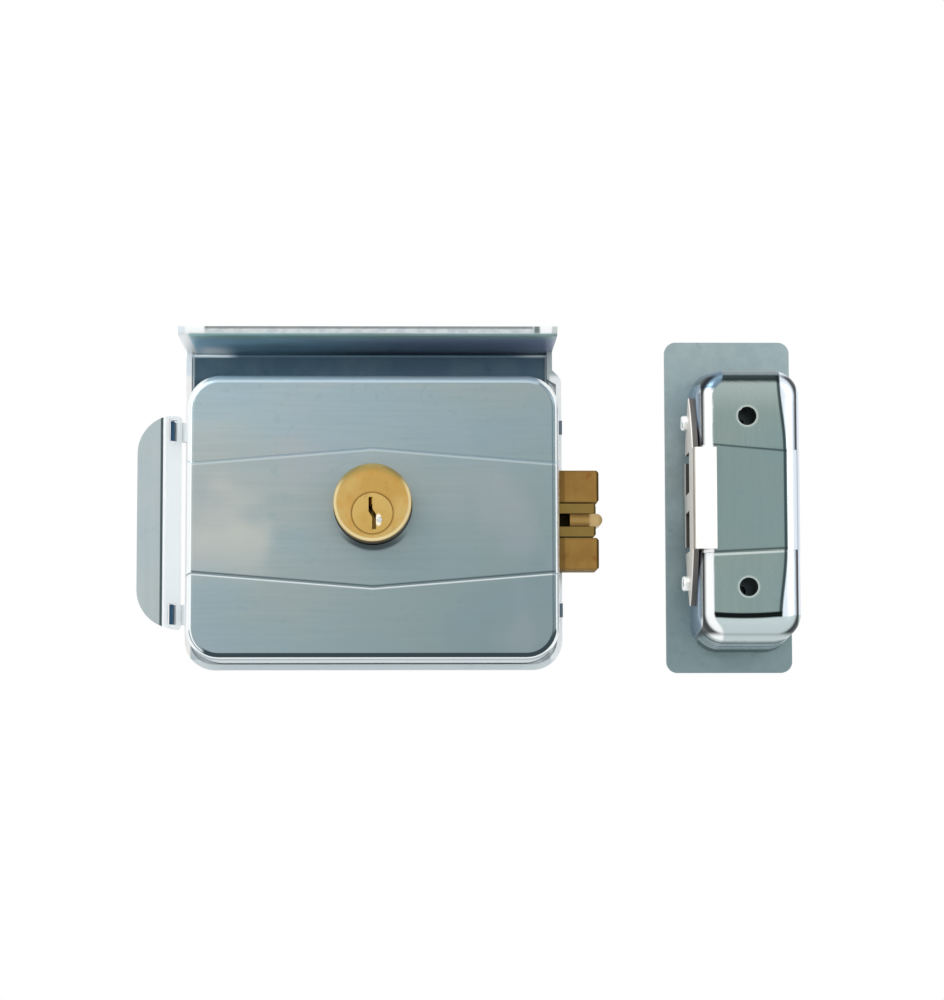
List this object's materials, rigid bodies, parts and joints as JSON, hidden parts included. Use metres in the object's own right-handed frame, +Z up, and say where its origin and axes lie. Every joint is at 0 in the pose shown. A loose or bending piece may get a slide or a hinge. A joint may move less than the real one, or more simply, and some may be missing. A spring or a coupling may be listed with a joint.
{
  "type": "electric gate lock",
  "caption": "Surface-mounted electric gate lock: pressed zinc-plated case with rain canopy, brass key cylinder, sprung bolt and trigger, and a separate keeper.",
  "frame": {"origin": "key axis where it meets the back plane of the lock (the gate face)", "axes": "+Z up, +X towards the keeper, +Y into the gate, so the front faces -Y"},
  "size_m": [0.2432, 0.0533, 0.1244],
  "materials": {
    "zinc_plate": "blue zinc plated",
    "brass": "satin",
    "brushed_nickel": "brushed nickel plated",
    "bright_steel": "bright",
    "spring_steel": "drawn wire",
    "copper": "enamelled copper wire",
    "moulding": "moulded nylon"
  },
  "bodies": {
    "case": {"base_plate": "zinc_plate", "case_cover": "zinc_plate", "side_bracket": "zinc_plate", "left_side_plate": "zinc_plate", "bolt_side_plate": "zinc_plate", "cylinder_body": "brass", "driver_pins": "brass", "cylinder_screws": "bright_steel", "bridge_plate": "zinc_plate", "bridge_posts": "zinc_plate", "bridge_screws": "bright_steel", "guide_posts": "zinc_plate", "spring_bracket": "zinc_plate", "spring_guide_rod": "bright_steel", "bolt_spring": "spring_steel", "trigger_spring": "spring_steel", "coil_yoke": "zinc_plate", "coil_bobbin": "moulding", "coil_winding": "copper", "armature_spring": "spring_steel", "pawl_pin": "bright_steel", "terminal_block": "moulding", "terminal_screws": "bright_steel", "keeper_base": "zinc_plate", "keeper_pillars": "zinc_plate", "keeper_cover": "zinc_plate", "keeper_insert": "brushed_nickel", "insert_screws": "bright_steel"},
    "bolt": {"bolt_block_upper": "brass", "bolt_block_lower": "brass", "bolt_tail": "zinc_plate", "bolt_rivets": "bright_steel"},
    "trigger": {"trigger_block": "brass", "trigger_nose": "brass", "trigger_tail": "zinc_plate", "trigger_pins": "bright_steel"},
    "plug": {"cylinder_plug": "brass", "anti_drill_pin": "bright_steel", "key_pins": "brass", "plug_cam": "zinc_plate", "cam_screw": "bright_steel"},
    "armature": {"armature": "zinc_plate"},
    "pawl": {"pawl": "zinc_plate"}
  },
  "joints": [
    {"name": "plug_turn", "type": "hinge", "parent": "case", "child": "plug", "pos_m": [0, 0, 0], "axis": [0, -1, 0], "range_deg": [0, 90]},
    {"name": "bolt_slide", "type": "slide", "parent": "case", "child": "bolt", "axis": [-1, 0, 0], "range_m": [0, 0.0145], "stiffness_N_per_m": 250, "springref_m": -0.008, "deforming": ["bolt_spring"]},
    {"name": "trigger_slide", "type": "slide", "parent": "case", "child": "trigger", "axis": [-1, 0, 0], "range_m": [0, 0.0145], "stiffness_N_per_m": 200, "springref_m": -0.008, "deforming": ["trigger_spring"]},
    {"name": "armature_pull", "type": "slide", "parent": "case", "child": "armature", "axis": [-1, 0, 0], "range_m": [0, 0.003], "stiffness_N_per_m": 120, "springref_m": -0.004, "deforming": ["armature_spring"]},
    {"name": "pawl_lift", "type": "hinge", "parent": "case", "child": "pawl", "pos_m": [0.002, -0.0125, 0.026], "axis": [0, -1, 0], "range_deg": [0, 16]}
  ],
  "couplings": [
    {"joint": "plug_turn", "follows": "bolt_slide", "rad_per_m": 108.33},
    {"joint": "pawl_lift", "follows": "armature_pull", "rad_per_m": 83.333}
  ]
}
